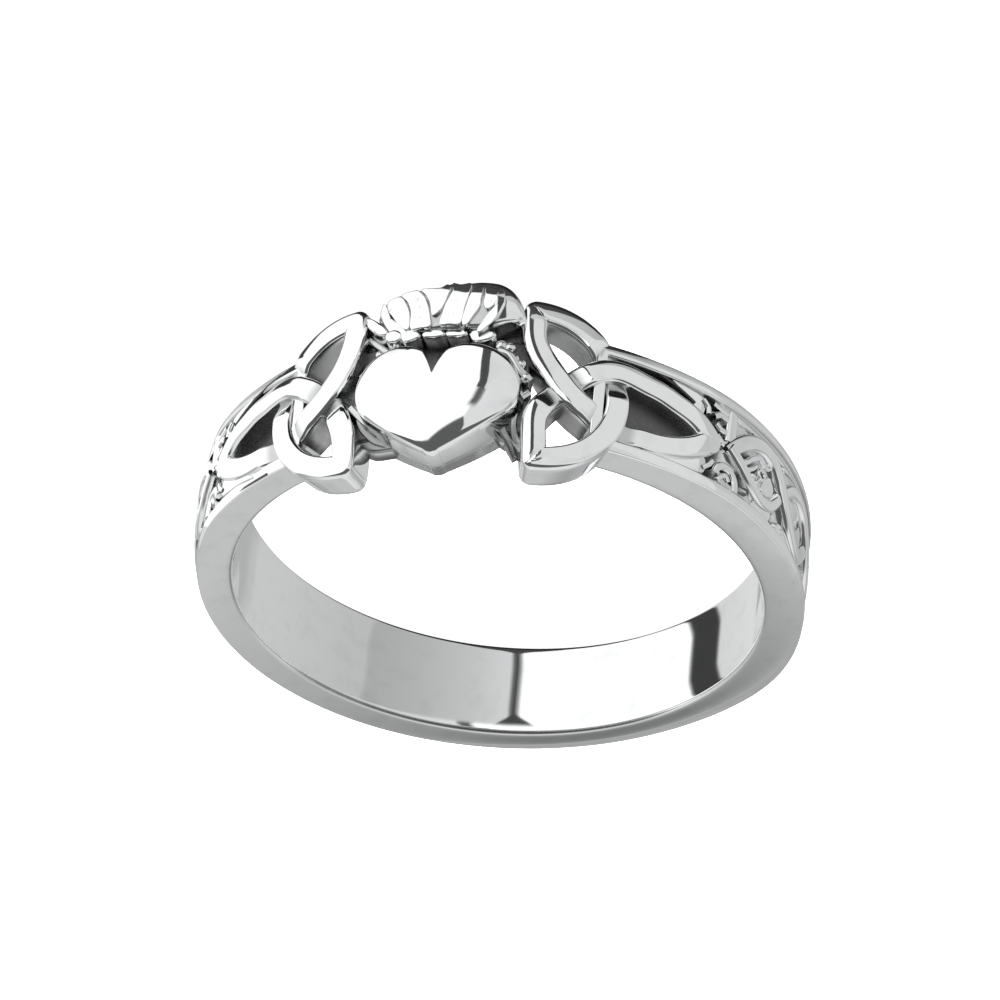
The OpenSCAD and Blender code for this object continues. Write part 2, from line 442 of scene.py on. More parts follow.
def bandProfile(angle):
    # one side of the section, from the middle of the inside round to the middle of the outside
    half, flare = bandHalf(angle), band["flare"]
    inner, outer = band["innerRound"], band["outerRound"]
    edgeR = bandTop(angle, half) - outer
    drop = sum((most * bell(angle, middle, spread) for most, middle, spread in band["sideDrops"]),
               band["leastDrop"])
    channelEnd = band["channelEnd"]
    isOpen = 1 - ease(min(angle, 360 - angle), channelEnd - band["channelSlope"], channelEnd)
    sideR, sideZ = holeR + flare + inner, half - drop - outer
    rimEdge = half - band["rimW"] - outer
    points = []
    for share in band["holeShares"]:
        out = max(0, share - band["flareFrom"]) / band["flareOver"]
        points.append((holeR + flare * out ** 2, half * share, 0.0))
    edgeShade = band["edgeShade"] * rampUpDown(angle, *band["edgeAngles"])
    for i in range(6):
        spot = onCircle(sideR, half - inner, inner, math.pi * (1 - i / 10))
        points.append((*spot, edgeShade if 0 < i < 4 else 0.0))
    for i in range(1, 11):
        t = i / 10
        points.append((sideR + (edgeR - sideR) * t, half - drop * t ** 2.4, 0.0))
    points += [(*onCircle(edgeR, sideZ, outer, math.pi / 2 * (1 - i / 4)), 0.0) for i in range(1, 5)]
    for i in range(1, 4):
        z = sideZ + (rimEdge + 0.06 - sideZ) * i / 3
        points.append((bandTop(angle, z), z, 0.0))
    # the channel's rounded wall, then its floor, both painted dark as painted shade
    topEdge = bandTop(angle, rimEdge)
    depth = band["channelDepth"] * isOpen
    floor = topEdge - depth
    points += [(topEdge - min(0.03, depth * 0.1), rimEdge + 0.01, 0.15 * isOpen),
               (topEdge - min(0.09, depth * 0.3), rimEdge - 0.015 * isOpen, 0.6 * isOpen),
               (floor + 0.12 * isOpen, rimEdge - 0.03 * isOpen, isOpen),
               (floor + 0.03 * isOpen, rimEdge - 0.07 * isOpen, isOpen)]
    for i in range(1, 15):
        z = (rimEdge - 0.1) * (1 - i / 14)
        points.append((floor * isOpen + bandTop(angle, z) * (1 - isOpen), z, isOpen))
    return points


def pitDepth(angle, z):
    fromHeart = min(angle, 360 - angle)
    deep = 1 - ease(fromHeart, *band["shallowFrom"])
    for a, v, halfLength, halfWidth in band["pits"]:
        along = (fromHeart - a) / halfLength
        across = (z - v) / halfWidth - along * band["pitSlant"]
        deep = max(deep, ease(1.5 - math.hypot(along, across), 0, 0.7))
    return deep


def wholeProfile(angle):
    upper = bandProfile(angle)
    lower = [(r, -z, dark if r > 9 else 0.0) for r, z, dark in reversed(upper[1:-1])]
    rimShade = band["rimShade"] * rampUpDown(angle, *band["rimAngles"])
    whole = []
    for r, z, dark in upper + lower:
        if dark > 0.95:
            deep = pitDepth(angle, z)
            r += band["shallow"] * (1 - deep)
            dark = band["shallowShade"] + (1 - band["shallowShade"]) * deep
        # painted shade on the lower rim beside the knots
        isRim = r > 9.5 and z < -1.4 and dark < 0.1
        whole.append((r, z, rimShade if isRim else dark))
    return whole


def bandStart(z):
    # the band begins under the middle of each knot's short strand
    u = shortArc[0] + math.sqrt(shortArc[2] ** 2 - z * z)
    return knot["angle"] + math.degrees(math.asin(u / faceR))


def makeBand():
    steps, first = band["steps"], band["startAngle"]
    whole = 360 - 2 * first
    places = [i / steps for i in range(steps + 1)]
    for edge in (band["channelEnd"] - band["channelSlope"], band["channelEnd"]):
        for angle in (edge, 360 - edge):  # keeps the channel's ends crisp
            places += [(angle + d - first) / whole for d in (-0.3, 0, 0.3)]
    rings = []
    for t in sorted(places):
        ring = []
        for r, z, dark in wholeProfile(first + t * whole):
            start = bandStart(z)
            ring.append((onRing(start + t * (360 - 2 * start), z, r), dark))
        rings.append(ring)
    verts, faces, recess = tube(rings)
    loop = len(rings[0])
    for row in (0, len(verts) - loop):
        for j in range(loop // 2):  # closes each end
            corners = dict.fromkeys((j, j + 1, loop - j - 1, (loop - j) % loop))
            faces.append(tuple(row + corner for corner in corners))
    return verts, faces, recess


joinShapes("band", [makeBand()])


print("strands")

relief = {
    "sag": 0.01,          # tops drop a little towards the band's edges
    "wallDark": (0.06, 0.4),  # painted shade: walls are painted darker between these depths
    "freeSide": (0.2, 0.6),   # but not the outer walls that hang free beside the band
    "freeV": (1.75, 1.95),
    "underDark": 0.4,     # painted shade: strands are painted darker where they pass under
    "underDrop": (0.04, 0.16),
}


def newTree(name, *labels):
    tree = bpy.data.node_groups.new(name, "GeometryNodeTree")
    for kind, way in (("Geometry", "INPUT"), ("Material", "INPUT"), ("Geometry", "OUTPUT")):
        tree.interface.new_socket(kind, in_out=way, socket_type="NodeSocket" + kind)
    for label in ("height", "foot", "angle", "recess", "shade", *labels):
        tree.interface.new_socket(label, in_out="INPUT", socket_type="NodeSocketFloat")
    node = tree.nodes.new("NodeGroupInput")
    return Wire(tree), {s.name: Wire(tree, s) for s in node.outputs if s.name}


def wrapOnRing(bench, shape, given):
    # bends flat relief, x along the band, y across it and z up, on to the ring as it lies
    place = bench.make("GeometryNodeInputPosition")
    rise, side = bench.named("rise"), bench.named("side")
    up, across = place.part("Z"), place.part("Y")
    angle = given["angle"] + place.part("X") / faceR
    radius = given["foot"] + up + up / given["height"] * (rise - across * across * relief["sag"])
    x = radius * angle.maths("SINE")
    y = -(radius * angle.maths("COSINE"))
    cosine, sine = math.cos(restTilt) * mm, math.sin(restTilt) * mm
    spot = bench.join(x * mm, y * cosine + across * sine, across * cosine - y * sine)
    # painted shade: darker down the walls, plus the given shade, and where a strand dips under another; kept
    # on each point
    clean = side.fade(*relief["freeSide"]) * across.maths("ABSOLUTE").fade(*relief["freeV"])
    dark = (given["height"] - up).fade(*relief["wallDark"]) * given["recess"] * (1 - clean)
    dark = dark + given["shade"] + (-rise).fade(*relief["underDrop"]) * relief["underDark"]
    shape = shape.store("recess", dark).moveTo(spot)
    shape = bench.make("GeometryNodeRealizeInstances", None, {0: shape})
    shape = bench.make("GeometryNodeSetMaterial", None, {"Geometry": shape, "Material": given["Material"]})
    bench.make("NodeGroupOutput", None, {0: shape})
    return bench.tree


def cutAtTips(bench, shape, given):
    # past a tip the sides close in an arc, and each strand stops soon after the plane between the two
    tip, out, mitre = (bench.named(label, "FLOAT_VECTOR") for label in ("tip", "out", "mitre"))
    spot = bench.make("GeometryNodeInputPosition")
    away = (spot - tip) * bench.join(1.0, 1.0, 0.0)
    sideways = bench.join(-(out.part("Y")), out.part("X"), 0.0)
    offset = away.maths("DOT_PRODUCT", sideways).maths("ABSOLUTE")
    isNear = away.maths("LENGTH").maths("LESS_THAN", knot["tipReach"])
    isPast = away.maths("DOT_PRODUCT", out).maths("GREATER_THAN", 0.0) * isNear
    rounded = away + (away.maths("NORMALIZE") * offset - away) * isPast
    past = rounded.maths("DOT_PRODUCT", mitre)
    moved = rounded - mitre * ((past - knot["overlap"]).atLeast(0.0) * isNear)
    dive = past.atLeast(0.0) * isNear * knot["tuck"]
    height = spot.part("Z") * (1 - dive / given["height"])
    return shape.moveTo(tip + moved + bench.join(0.0, 0.0, height))


def strandTree(name, hasTips):
    bench, given = newTree(name, "width", "round", "crown", "slope")
    path = bench.make("GeometryNodeMeshToCurve", None, {0: given["Geometry"]})
    path = bench.make("GeometryNodeSetCurveNormal", {"mode": "Z_UP"}, {0: path})
    section = bench.make("GeometryNodeCurvePrimitiveQuadrilateral", None,
                         {"Width": given["width"], "Height": given["height"]})
    section = bench.make("GeometryNodeSubdivideCurve", None, {0: section, "Cuts": 3})
    section = bench.make("GeometryNodeFilletCurve", {"mode": "POLY"},
                         {0: section, "Count": 5, "Radius": given["round"], "Limit Radius": True})
    place = bench.make("GeometryNodeInputPosition")
    off = place.part("X") / given["width"] * 2
    up = place.part("Y") + given["height"] / 2
    fall = off.atLeast(0.0)
    dome = ((1 - off * off) * given["crown"] - fall * fall * given["slope"]) * (up / given["height"])
    section = section.moveTo(bench.join(place.part("X"), -(up + dome), 0.0)).store("side", off)
    shape = bench.make("GeometryNodeCurveToMesh", None,
                       {0: path, "Profile Curve": section, "Fill Caps": True})
    if hasTips:
        shape = cutAtTips(bench, shape, given)
    return wrapOnRing(bench, shape, given)


def beadTree(name):
    bench, given = newTree(name)
    ball = bench.make("GeometryNodeMeshIcoSphere", None, {"Radius": 1.0, "Subdivisions": 4}, 0)
    points = bench.make("GeometryNodeMeshToPoints", None, {0: given["Geometry"]})
    shape = bench.make("GeometryNodeInstanceOnPoints", None,
                       {"Points": points, "Instance": ball, "Scale": bench.named("size")})
    shape = bench.make("GeometryNodeRealizeInstances", None, {0: shape})
    return wrapOnRing(bench, shape, given)


def grow(paths, tree, sizes, attributes):
    # paths: lists of flat points; sizes: the tree's inputs by name, among others; attributes: lists
    # with a number or a vector for each point, by name
    verts, edges = [], []
    for path in paths:
        start = len(verts)
        verts += path
        edges += [(start + i, start + i + 1) for i in range(len(path) - 1)]
    mesh = bpy.data.meshes.new("path")
    mesh.from_pydata(verts, edges, [])
    for label, values in attributes.items():
        isNumber = isinstance(values[0], float)
        layer = mesh.attributes.new(label, "FLOAT" if isNumber else "FLOAT_VECTOR", "POINT")
        for spot, value in zip(layer.data, values):
            setattr(spot, "value" if isNumber else "vector", value)
    carrier = addObject("path", mesh)
    modifier = carrier.modifiers.new("grow", "NODES")
    modifier.node_group = tree
    inputs = {**sizes, "Material": silver}
    for socket in tree.interface.items_tree:
        if socket.in_out == "INPUT" and socket.name in inputs:
            modifier[socket.identifier] = inputs[socket.name]
    view = bpy.context.evaluated_depsgraph_get()
    grown = bpy.data.meshes.new_from_object(carrier.evaluated_get(view), depsgraph=view)
    grown.materials.clear()
    carrier.modifiers.clear()
    bpy.data.objects.remove(carrier)
    return grown


def mirrored(meshes, side):
    if side < 0:
        for mesh in meshes:
            mesh.transform(Matrix.Scale(-1, 4, (1, 0, 0)))
    return meshes


def arcPath(arc, start, end, lean):
    # along a circle in the knot's plane, each point then at its distance round the band
    x, y, r = arc
    a = math.atan2(start[1] - y, start[0] - x)
    b = math.atan2(end[1] - y, end[0] - x)
    turn = (b - a + math.pi) % (2 * math.pi) - math.pi
    count = int(abs(turn) * r / knot["step"])
    path = []
    for i in range(count + 1):
        point = Vector((*onCircle(x, y, r, a + turn * i / count), 0))
        path.append(Vector((faceR * math.asin(point.x / faceR) + lean * point.y, point.y, 0)))
    return path


def bent(point, side):
    u, v = point.x, point.y
    if side < 0:
        full = sum(share * bell(v, middle, spread) for share, middle, spread in knot["bulges"])
        u -= knot["bulge"] * full * (1 - ease(u, *knot["bulgeEnd"]))
    if v < knot["filedV"]:
        v += knot["filed"] * rampUpDown(point.x, *knot["filedAlong"])
    return Vector((u, v, 0))


def whereCross(a, b):
    # the tips that two strands share don't count
    pairs = ((p, q) for p in a[20:-20] for q in b[20:-20])
    first, second = min(pairs, key=lambda pair: (pair[0] - pair[1]).length)
    return (first + second) / 2


def endOf(path, other):
    # a strand's last point, its direction there, and the way square to the plane between two strands
    out, otherOut = ((end - inner).normalized() for end, inner in (path, other))
    middle = (out + otherOut).normalized()
    return path[0], out, (out - middle * out.dot(middle)).normalized()


def makeKnot(side):
    lean = knot["lean"] if side < 0 else 0.0
    near = arcPath(shortArc, upperTip, lowerTip, lean)
    upper = arcPath(upperArc, lowerTip, farTip, lean)
    lower = arcPath(lowerArc, farTip, upperTip, lean)
    runs = (near, [bent(point, side) for point in upper],
            [bent(point, side) if point.x < 0 else point for point in lower])
    # the strand that passes over, the one under, and where
    crossings = [(a, b, whereCross(runs[a], runs[b])) for a, b in ((0, 2), (1, 0), (2, 1))]
    reach = [knot["step"] * i for i in range(1, knot["stepsPast"])]
    paths, rise, ends = [], [], []
    for i, run in enumerate(runs):
        before, after = runs[i - 1], runs[(i + 1) % 3]
        first = endOf((run[0], run[1]), (before[-1], before[-2]))
        last = endOf((run[-1], run[-2]), (after[0], after[1]))
        path = [first[0] + first[1] * d for d in reversed(reach)] + run
        path += [last[0] + last[1] * d for d in reach]
        for j, point in enumerate(path):
            ends.append(first if j < len(path) / 2 else last)
            lift = 0.0
            for over, under, cross in crossings:
                away = (point - cross).length
                if i == under:
                    lift -= knot["dip"] * (1 - ease(away, *knot["dipReach"]))
                if i == over:
                    lift += knot["lift"] * (1 - ease(away, *knot["liftReach"]))
            rise.append(lift)
        paths.append(path)
    foot = holeR + 0.01
    sizes = {**knot, "foot": foot, "height": faceR - foot, "angle": math.radians(knot["angle"])}
    tips, outs, mitres = zip(*ends)
    strands = grow(paths, tippedStrands, sizes, {"rise": rise, "tip": tips, "out": outs, "mitre": mitres})
    return mirrored([strands], side)


tippedStrands = strandTree("strandsWithTips", True)
plainStrands = strandTree("strands", False)
beads = beadTree("beads")

for side, label in ((1, "knotLeft"), (-1, "knotRight")):
    finishPiece(label, makeKnot(side))


def alongBand(angle):
    return faceR * math.radians(angle)


weave = {
    "foot": 9.25,
    "height": 0.62,
    "recess": 0.45,
    "lift": 0.05,         # how far a strand rises and dips as the two cross
    "base": 0.06,
    "firstCross": 60.6,
    "crossStep": 17.9,
    "widths": (0.6, 0.48),
    "round": 0.11,
    "crown": 0.05,
    # the two strands, row by row: angle and place across the band
    "first": (
        (59.6, 0.1), (60.8, -0.15), (62.5, -0.45), (65, -0.8), (68, -1.02), (71, -1.05), (74, -0.86),
        (76.4, -0.5), (78.3, -0.08), (80.5, 0.35), (83.5, 0.75), (87, 0.95), (90.5, 0.85), (93.5, 0.45),
        (96.5, -0.02), (99.5, -0.5), (103, -0.9), (107, -1.0), (111, -0.8), (114, -0.4),
    ),
    "second": (
        (59.6, -0.05), (60.9, 0.08), (63.5, 0.36), (66.5, 0.68), (70, 0.9), (73.5, 0.78), (76, 0.42),
        (78.2, -0.02), (80.8, -0.5), (84, -0.9), (87.5, -1.0), (91, -0.85), (94, -0.45), (97, 0.05),
        (100, 0.5), (104, 0.9), (108, 0.95), (112, 0.7), (114, 0.4),
    ),
    # small relief: width, then its points
    "curls": (
        (0.4, (60.6, -1.5), (60.4, -1.0), (60.2, -0.3)),
        (0.18, (55.6, -0.95), (57.2, -1.13), (59.2, -1.12)),
        (0.17, (56.2, -0.72), (57.5, -0.6), (58.9, -0.6)),
        (0.18, (56.6, -0.3), (58.2, -0.14), (59.4, -0.2)),
        (0.15, (55.3, -1.42), (57.0, -1.36), (59.3, -1.33)),
        (0.13, (52.6, -1.35), (54.0, -1.15), (54.2, -0.9)),
        (0.24, (56.8, 1.1), (57.6, 0.82), (59.2, 0.68), (61.2, 0.74), (62.4, 1.0), (62.6, 1.35)),
        (0.16, (57.8, 1.3), (58.6, 1.1), (59.8, 1.0), (60.6, 1.15)),
        (0.14, (53.6, 1.2), (55.2, 0.95), (56.0, 0.75)),
        (0.12, (69.4, -0.56), (71.2, -0.5), (73.2, -0.62)),
        (0.17, (63.8, 0.08), (65.6, -0.12), (67.2, -0.4), (69.2, -0.62)),
        (0.14, (65.2, 0.22), (67.0, 0.02), (68.6, -0.25)),
        (0.26, (98.5, 0.05), (102, -0.3), (105, -0.4)),
        (0.26, (102, 0.45), (105, 0.2), (108, 0.0)),
    ),
    "curlFull": 1.25,     # how much wider a curl is cast than drawn
    "curlRound": 0.36,
    "curlCrown": 0.02,
    "curlRise": -0.03,
    "ring": (70.1, -0.05, 0.17),
    "ringW": 0.13,
    "ringRound": 0.05,
    # beads: angle, place and size
    "dots": (
        (66.4, 0.36, 0.13), (67.9, 0.2, 0.12), (68.9, 0.36, 0.12), (79.6, 1.15, 0.16), (76.9, 1.2, 0.14),
        (78.9, -1.2, 0.15), (97.6, 1.1, 0.16), (97.4, -1.1, 0.16), (86.5, 0.0, 0.15), (105, 0.0, 0.15),
    ),
    "dotR": 9.74,
    "dotSizes": {"foot": 9.4, "height": 0.5, "recess": 0.5},
}


def growBeads(places, sizes):
    # places: angle, place across the band, size and height of the middle
    paths = [[(alongBand(a), v, r - sizes["foot"])] for a, v, size, r in places]
    return grow(paths, beads, sizes, {"size": [size for a, v, size, r in places]})


def makeWeave(side):
    def strand(path, rise, width, edge, crown):
        points = [(alongBand(a), v, 0) for a, v in path]
        sizes = {**weave, "width": width, "round": edge, "crown": crown}
        meshes.append(grow([points], plainStrands, sizes, {"rise": rise}))

    meshes = []
    for label, width, way in zip(("first", "second"), weave["widths"], (-1, 1)):
        path = openCurve(weave[label])
        phases = [(a - weave["firstCross"]) / weave["crossStep"] * math.pi for a, v in path]
        rise = [weave["base"] + way * weave["lift"] * math.cos(phase) for phase in phases]
        strand(path, rise, width, weave["round"], weave["crown"])
    for width, *row in weave["curls"]:
        path = openCurve(row)
        rise = weave["curlRise"] if width < 0.3 else 0.0
        full, edge = width * weave["curlFull"], width * weave["curlRound"]
        strand(path, [rise] * len(path), full, edge, weave["curlCrown"])
    angle, v, r = weave["ring"]
    turns = [math.radians(15 * k) for k in range(25)]
    ring = [(angle + math.degrees(r * math.cos(turn) / faceR), v + r * math.sin(turn)) for turn in turns]
    strand(ring, [0.0] * len(ring), weave["ringW"], weave["ringRound"], weave["curlCrown"])
    meshes.append(growBeads([(*dot, weave["dotR"]) for dot in weave["dots"]], weave["dotSizes"]))
    return mirrored(meshes, side)


beside = {
    # low flats between the knots' far lobes and the rims: height of the top, then the edge
    "flats": (
        (9.89, (51.9, 0.0), (53.6, -0.46), (56.0, -0.32), (57.5, 0.05), (56.6, 0.4), (54.2, 0.62),
         (52.6, 0.36)),
        (9.8, (41.5, 1.75), (46.5, 1.2), (50.5, 0.85), (53.6, 0.72), (54.6, 0.95), (53.6, 1.42),
         (47.0, 1.62)),
        (9.76, (44.5, -1.62), (48.5, -1.2), (52.0, -0.82), (53.4, -0.95), (52.8, -1.5), (48.0, -1.66)),
        (9.84, (61.0, -1.5), (62.0, -1.25), (66.0, -1.3), (71.0, -1.36), (77.0, -1.3), (80.0, -1.2),
         (84.0, -1.3), (95.0, -1.35), (113.0, -1.35), (113.0, -1.62), (80.0, -1.64), (61.0, -1.64)),
        (9.83, (67.6, 1.3), (68.6, 0.98), (70.5, 0.85), (73.5, 0.8), (74.9, 1.0), (74.4, 1.25),
         (73.5, 1.5), (68.0, 1.5)),
        (9.84, (77.4, 1.0), (80.0, 0.85), (83.0, 1.05), (90.0, 1.2), (96.0, 1.2), (96.0, 1.5),
         (77.0, 1.52), (76.8, 1.3)),
        (9.85, (79.3, 0.1), (81.0, -0.45), (83.5, -0.45), (86.0, -0.6), (88.5, -0.45), (87.0, -0.1),
         (84.0, 0.35), (81.5, 0.3)),
        (9.83, (85.5, 0.5), (88.0, 0.1), (91.0, -0.35), (92.6, -0.2), (92.0, 0.35), (89.5, 0.6),
         (87.0, 0.62)),
        (9.82, (70.5, 0.45), (71.3, 0.02), (73.0, -0.3), (75.0, -0.3), (75.6, 0.0), (74.0, 0.4),
         (72.0, 0.55)),
    ),
    "flatDepth": 0.35,
    # a flat's rounded edge: share of its outline, depth and painted shade
    "flatEdge": ((0.3, 0, 0.0), (0.6, 0, 0.0), (0.85, 0, 0.0), (0.93, 0.006, 0.0), (0.98, 0.03, 0.1),
                 (1.0, 0.07, 0.4), (1.0, 0.14, 0.6), (1.0, 0.35, 0.6), (0.5, 0.35, 0.0)),
    # grooves, each a thin strip painted dark as painted shade: width, then angle and place along each
    "grooves": (
        (0.075, (37.5, 1.93), (42, 1.9), (48, 1.82), (54, 1.7)),
        (0.07, (36.5, -1.78), (41, -1.62), (46, -1.36), (50.5, -1.02)),
    ),
    "grooveLifts": (0.008, -0.1),  # its top and its foot, from the band's outside
    "grooveShade": 1.3,
}


def slab(row, top):
    # a low flat that follows the ring
    outline = closedCurve(row, 5)
    a, v = middleOf(outline)
    rings = [[(onRing(a + (b - a) * share, v + (w - v) * share, top - depth), shade) for b, w in outline]
             for share, depth, shade in beside["flatEdge"]]
    return stack(onRing(a, v, top), rings, onRing(a, v, top - beside["flatDepth"]))


def groove(path, width):
    # a thin strip painted dark as a groove's painted shade, lying in the band's outside
    edge = [(a, v - width / 2) for a, v in path] + [(a, v + width / 2) for a, v in reversed(path)]
    verts, faces, recess = tube([[(onRing(a, v, bandTop(abs(a), v) + lift), beside["grooveShade"])
                                  for a, v in edge] for lift in beside["grooveLifts"]])
    count = len(edge)
    for i in range(len(path) - 1):
        for start in (0, count):
            faces.append((start + i, start + i + 1, start + count - 2 - i, start + count - 1 - i))
    return verts, faces, recess


def makeBeside(side):
    parts = [slab([(side * a, v) for a, v in row], top) for top, *row in beside["flats"]]
    for width, *row in beside["grooves"]:
        parts.append(groove([(side * a, v) for a, v in openCurve(row)], width))
    return parts


joinShapes("besideKnots", makeBeside(1) + makeBeside(-1))

for side, label in ((1, "weaveLeft"), (-1, "weaveRight")):
    finishPiece(label, makeWeave(side))


print("heart and crown")

heart = {
    "width": 5.4,
    "lobeR": 1.40,
    "top": -0.93,
    "notch": 0.26,
    "notchHalf": 0.02,
    "notchBow": -0.05,
    "leave": -128,        # where each lobe turns into the nearly straight line to the notch
    "tip": 3.07,
    "tipRound": 0.42,
    "sideBow": 0.1,
    "middle": (0.0, 0.75),
    "puffR": 5.0,
    "puffV": 0.214,
    "height": 10.7,
    "bevel": 0.13,
    # painted shade on the heart's upright walls
    "wallDark": 0.25,
}


def heartOutline():
    lobeR, tipRound = heart["lobeR"], heart["tipRound"]
    lobeU, lobeV = heart["width"] / 2 - lobeR, heart["top"] + lobeR
    tipV = heart["tip"] - tipRound * 0.35
    dx, dy = -lobeU, tipV - lobeV
    turn = math.atan2(dy, dx) - math.acos((lobeR - tipRound) / math.hypot(dx, dy))
    leave = math.radians(heart["leave"])

    def bowed(start, end, steps, most, way):
        # a line that bows out by most, without its end
        return [tuple(a + (b - a) * i / steps + most * 4 * i / steps * (1 - i / steps) * out
                      for a, b, out in zip(start, end, way)) for i in range(steps)]

    lobe = [onCircle(lobeU, lobeV, lobeR, leave + (turn - leave) * i / 60) for i in range(61)]
    half = bowed((heart["notchHalf"], heart["notch"]), lobe[0], 14, heart["notchBow"], (0, 1)) + lobe
    half += bowed(lobe[-1], onCircle(0, tipV - tipRound, tipRound, turn), 40, heart["sideBow"],
                  (math.cos(turn), math.sin(turn)))[1:]
    half += [onCircle(0, tipV - tipRound, tipRound, turn + (math.pi / 2 - turn) * i / 10) for i in range(10)]
    half.append((0, tipV))
    return half + [(-u, v) for u, v in reversed(half[:-1])]


puffShares = (0.1, 0.2, 0.3, 0.4, 0.5, 0.6, 0.68, 0.76, 0.83, 0.88, 0.92, 0.95, 0.97, 0.985, 0.995, 1.0)


def pillow(outline, middle, crest, foot, bevel, wallDark=0.5, topDark=None, taper=1.0):
    # a puffed shape with a rounded edge, upright walls and a foot on the ring; its walls and, if given, its
    # top are painted darker as painted shade
    midU, midV = middle
    rings = []
    for share in puffShares:
        ring = []
        for u, v in outline:
            inward = (1 - share) * math.hypot(u - midU, v - midV)
            edge = bevel - math.sqrt(bevel ** 2 - (bevel - inward) ** 2) if inward < bevel else 0.0
            x, z = midU + (u - midU) * share, midV + (v - midV) * share
            ring.append(((x, -(crest(x, z) - edge), z), topDark(x, z) if topDark else 0.0))
        rings.append(ring)
    for level, dark in ((0.12, 0.0), (0.5, wallDark), (1.0, wallDark)):
        ring = []
        share = 1 - (1 - taper) * level
        for u, v in outline:
            high = crest(u, v) - bevel
            if v < midV:
                v = midV + (v - midV) * share
            ring.append(((u, -(high + (foot(u, v) - high) * level), v), dark))
        rings.append(ring)
    for share in (0.66, 0.33):
        spots = [(midU + (u - midU) * share, midV + (v - midV) * share * taper) for u, v in outline]
        rings.append([((x, -foot(x, z), z), 0.0) for x, z in spots])
    return stack((midU, -crest(*middle), midV), rings, (midU, -foot(*middle), midV))


def onHole(u, v):
    return math.sqrt((holeR + 0.01) ** 2 - u * u)


def heartCrest(u, v):
    puffR = heart["puffR"]
    return heart["height"] - puffR + math.sqrt(puffR ** 2 - u * u - (v - heart["puffV"]) ** 2)


joinShapes("heart", [pillow(heartOutline(), heart["middle"], heartCrest, onHole,
                            heart["bevel"], heart["wallDark"])])

